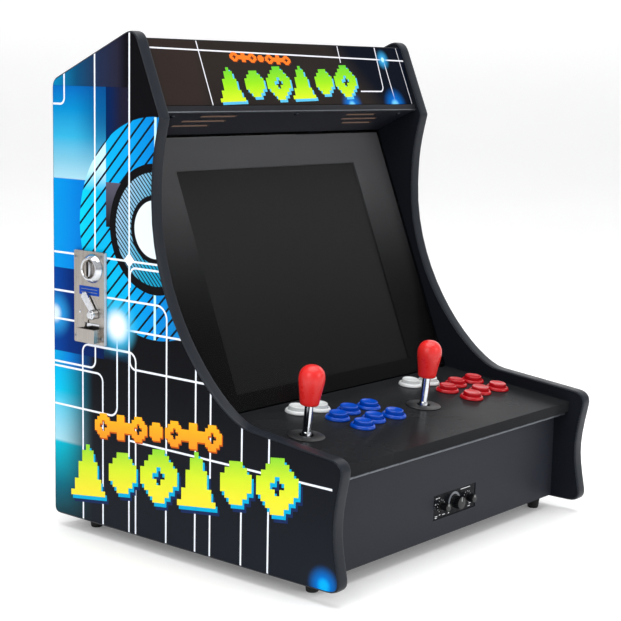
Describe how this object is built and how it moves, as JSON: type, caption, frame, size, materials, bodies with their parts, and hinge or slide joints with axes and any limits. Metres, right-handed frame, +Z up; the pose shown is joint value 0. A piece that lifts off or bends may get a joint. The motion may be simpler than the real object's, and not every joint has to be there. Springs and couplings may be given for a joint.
{
  "type": "bartop arcade cabinet",
  "caption": "Tabletop arcade cabinet for two players with hinged control panel, joysticks, push buttons, tilted monitor, marquee box, side coin slot and rear service door.",
  "frame": {"origin": "centre of the bounding box footprint, level with the undersides of the feet", "axes": "+X towards the right of a player who faces the screen, -Y towards that player, +Z up"},
  "size_m": [0.577, 0.4993, 0.6618],
  "materials": {
    "black_board": "satin black laminate",
    "side_art": null,
    "edge_moulding": "satin blue-grey",
    "tinted_glass": "smoked glass",
    "matt_black": "matt black",
    "screen": "switched-off screen",
    "marquee": "printed translucent panel",
    "speaker_cone": "matt",
    "chrome": "polished",
    "steel": "brushed",
    "black_metal": "satin black",
    "black_plastic": "satin",
    "rubber": "matt",
    "red_plastic": "glossy",
    "blue_plastic": "glossy",
    "white_plastic": "glossy",
    "aluminium_case": "folded sheet",
    "circuit_board": "green solder mask"
  },
  "bodies": {
    "cabinet": {"side_panel_left": "side_art", "side_panel_right": "side_art", "t_moulding_left": "edge_moulding", "t_moulding_right": "edge_moulding", "base_panel": "black_board", "top_panel": "black_board", "rear_panel": "black_board", "front_panel": "black_board", "marquee_panel": "marquee", "speaker_panel": "black_board", "speaker_left": "speaker_cone", "speaker_right": "speaker_cone", "monitor_glass": "tinted_glass", "screen_bezel": "matt_black", "lcd_monitor": "screen", "foot_front_left": "rubber", "foot_front_right": "rubber", "foot_rear_left": "rubber", "foot_rear_right": "rubber", "coin_plate": "steel", "coin_selector": "black_plastic", "amplifier_panel": "black_metal", "panel_hinge_fixed_leaf": "black_metal", "panel_hinge_pin": "steel", "power_inlet": "black_plastic", "power_supply": "aluminium_case", "game_board": "circuit_board"},
    "control_panel": {"control_panel": "black_board", "panel_hinge_moving_leaf": "black_metal", "joystick_housing_left": "black_plastic", "joystick_housing_right": "black_plastic"},
    "stick_ring_left": {"joystick_ring_left": "steel"},
    "stick_left": {"joystick_shaft_left": "chrome", "joystick_bat_left": "red_plastic"},
    "button_left_front_1": {"button_left_front_1": "blue_plastic"},
    "button_left_front_2": {"button_left_front_2": "blue_plastic"},
    "button_left_front_3": {"button_left_front_3": "blue_plastic"},
    "button_left_rear_1": {"button_left_rear_1": "blue_plastic"},
    "button_left_rear_2": {"button_left_rear_2": "blue_plastic"},
    "button_left_rear_3": {"button_left_rear_3": "blue_plastic"},
    "button_left_start": {"button_left_start": "white_plastic"},
    "button_left_select": {"button_left_select": "white_plastic"},
    "stick_ring_right": {"joystick_ring_right": "steel"},
    "stick_right": {"joystick_shaft_right": "chrome", "joystick_bat_right": "red_plastic"},
    "button_right_front_1": {"button_right_front_1": "red_plastic"},
    "button_right_front_2": {"button_right_front_2": "red_plastic"},
    "button_right_front_3": {"button_right_front_3": "red_plastic"},
    "button_right_rear_1": {"button_right_rear_1": "red_plastic"},
    "button_right_rear_2": {"button_right_rear_2": "red_plastic"},
    "button_right_rear_3": {"button_right_rear_3": "red_plastic"},
    "button_right_start": {"button_right_start": "white_plastic"},
    "button_right_select": {"button_right_select": "white_plastic"},
    "bass_knob": {"bass_knob": "black_plastic"},
    "volume_knob": {"volume_knob": "black_plastic"},
    "treble_knob": {"treble_knob": "black_plastic"},
    "coin_return_lever": {"coin_return_lever": "chrome"},
    "coin_return_flap": {"coin_return_flap": "chrome"},
    "rear_door": {"rear_door": "black_board"},
    "door_lock": {"door_lock": "chrome"}
  },
  "joints": [
    {"name": "control_panel_hinge", "type": "hinge", "parent": "cabinet", "child": "control_panel", "pos_m": [0.0085, -0.22226, 0.14374], "axis": [1, 0, 0], "range_deg": [0, 75]},
    {"name": "joystick_fore_aft_left", "type": "hinge", "parent": "control_panel", "child": "stick_ring_left", "pos_m": [-0.1855, -0.12223, 0.16335], "axis": [1, 0, 0], "range_deg": [-9, 9], "stiffness_Nm_per_rad": 2},
    {"name": "joystick_sideways_left", "type": "hinge", "parent": "stick_ring_left", "child": "stick_left", "pos_m": [-0.1855, -0.12223, 0.16335], "axis": [0, 0.9949, 0.1011], "range_deg": [-9, 9], "stiffness_Nm_per_rad": 2},
    {"name": "button_left_front_1_press", "type": "slide", "parent": "control_panel", "child": "button_left_front_1", "axis": [0, 0.1011, -0.9949], "range_m": [0, 0.003], "stiffness_N_per_m": 150, "springref_m": -0.0015},
    {"name": "button_left_front_2_press", "type": "slide", "parent": "control_panel", "child": "button_left_front_2", "axis": [0, 0.1011, -0.9949], "range_m": [0, 0.003], "stiffness_N_per_m": 150, "springref_m": -0.0015},
    {"name": "button_left_front_3_press", "type": "slide", "parent": "control_panel", "child": "button_left_front_3", "axis": [0, 0.1011, -0.9949], "range_m": [0, 0.003], "stiffness_N_per_m": 150, "springref_m": -0.0015},
    {"name": "button_left_rear_1_press", "type": "slide", "parent": "control_panel", "child": "button_left_rear_1", "axis": [0, 0.1011, -0.9949], "range_m": [0, 0.003], "stiffness_N_per_m": 150, "springref_m": -0.0015},
    {"name": "button_left_rear_2_press", "type": "slide", "parent": "control_panel", "child": "button_left_rear_2", "axis": [0, 0.1011, -0.9949], "range_m": [0, 0.003], "stiffness_N_per_m": 150, "springref_m": -0.0015},
    {"name": "button_left_rear_3_press", "type": "slide", "parent": "control_panel", "child": "button_left_rear_3", "axis": [0, 0.1011, -0.9949], "range_m": [0, 0.003], "stiffness_N_per_m": 150, "springref_m": -0.0015},
    {"name": "button_left_start_press", "type": "slide", "parent": "control_panel", "child": "button_left_start", "axis": [0, 0.1011, -0.9949], "range_m": [0, 0.003], "stiffness_N_per_m": 150, "springref_m": -0.0015},
    {"name": "button_left_select_press", "type": "slide", "parent": "control_panel", "child": "button_left_select", "axis": [0, 0.1011, -0.9949], "range_m": [0, 0.003], "stiffness_N_per_m": 150, "springref_m": -0.0015},
    {"name": "joystick_fore_aft_right", "type": "hinge", "parent": "control_panel", "child": "stick_ring_right", "pos_m": [0.0605, -0.12223, 0.16335], "axis": [1, 0, 0], "range_deg": [-9, 9], "stiffness_Nm_per_rad": 2},
    {"name": "joystick_sideways_right", "type": "hinge", "parent": "stick_ring_right", "child": "stick_right", "pos_m": [0.0605, -0.12223, 0.16335], "axis": [0, 0.9949, 0.1011], "range_deg": [-9, 9], "stiffness_Nm_per_rad": 2},
    {"name": "button_right_front_1_press", "type": "slide", "parent": "control_panel", "child": "button_right_front_1", "axis": [0, 0.1011, -0.9949], "range_m": [0, 0.003], "stiffness_N_per_m": 150, "springref_m": -0.0015},
    {"name": "button_right_front_2_press", "type": "slide", "parent": "control_panel", "child": "button_right_front_2", "axis": [0, 0.1011, -0.9949], "range_m": [0, 0.003], "stiffness_N_per_m": 150, "springref_m": -0.0015},
    {"name": "button_right_front_3_press", "type": "slide", "parent": "control_panel", "child": "button_right_front_3", "axis": [0, 0.1011, -0.9949], "range_m": [0, 0.003], "stiffness_N_per_m": 150, "springref_m": -0.0015},
    {"name": "button_right_rear_1_press", "type": "slide", "parent": "control_panel", "child": "button_right_rear_1", "axis": [0, 0.1011, -0.9949], "range_m": [0, 0.003], "stiffness_N_per_m": 150, "springref_m": -0.0015},
    {"name": "button_right_rear_2_press", "type": "slide", "parent": "control_panel", "child": "button_right_rear_2", "axis": [0, 0.1011, -0.9949], "range_m": [0, 0.003], "stiffness_N_per_m": 150, "springref_m": -0.0015},
    {"name": "button_right_rear_3_press", "type": "slide", "parent": "control_panel", "child": "button_right_rear_3", "axis": [0, 0.1011, -0.9949], "range_m": [0, 0.003], "stiffness_N_per_m": 150, "springref_m": -0.0015},
    {"name": "button_right_start_press", "type": "slide", "parent": "control_panel", "child": "button_right_start", "axis": [0, 0.1011, -0.9949], "range_m": [0, 0.003], "stiffness_N_per_m": 150, "springref_m": -0.0015},
    {"name": "button_right_select_press", "type": "slide", "parent": "control_panel", "child": "button_right_select", "axis": [0, 0.1011, -0.9949], "range_m": [0, 0.003], "stiffness_N_per_m": 150, "springref_m": -0.0015},
    {"name": "bass_knob_turn", "type": "hinge", "parent": "cabinet", "child": "bass_knob", "pos_m": [-0.0035, -0.203, 0.06], "axis": [0, -1, 0], "range_deg": [-150, 150]},
    {"name": "volume_knob_turn", "type": "hinge", "parent": "cabinet", "child": "volume_knob", "pos_m": [0.0265, -0.203, 0.06], "axis": [0, -1, 0], "range_deg": [-150, 150]},
    {"name": "treble_knob_turn", "type": "hinge", "parent": "cabinet", "child": "treble_knob", "pos_m": [0.0565, -0.203, 0.06], "axis": [0, -1, 0], "range_deg": [-150, 150]},
    {"name": "coin_return_lever_turn", "type": "hinge", "parent": "cabinet", "child": "coin_return_lever", "pos_m": [-0.2718, 0.1597, 0.3004], "axis": [-1, 0, 0], "range_deg": [0, 22], "stiffness_Nm_per_rad": 0.15, "springref_deg": -8.59},
    {"name": "coin_return_flap_swing", "type": "hinge", "parent": "cabinet", "child": "coin_return_flap", "pos_m": [-0.27405, 0.16695, 0.2863], "axis": [0, -1, 0], "range_deg": [0, 50]},
    {"name": "rear_door_hinge", "type": "hinge", "parent": "cabinet", "child": "rear_door", "pos_m": [0.21, 0.2435, 0.347], "axis": [0, 0, -1], "range_deg": [0, 110]},
    {"name": "door_lock_turn", "type": "hinge", "parent": "rear_door", "child": "door_lock", "pos_m": [-0.1715, 0.2435, 0.347], "axis": [0, 1, 0], "range_deg": [0, 90]}
  ]
}
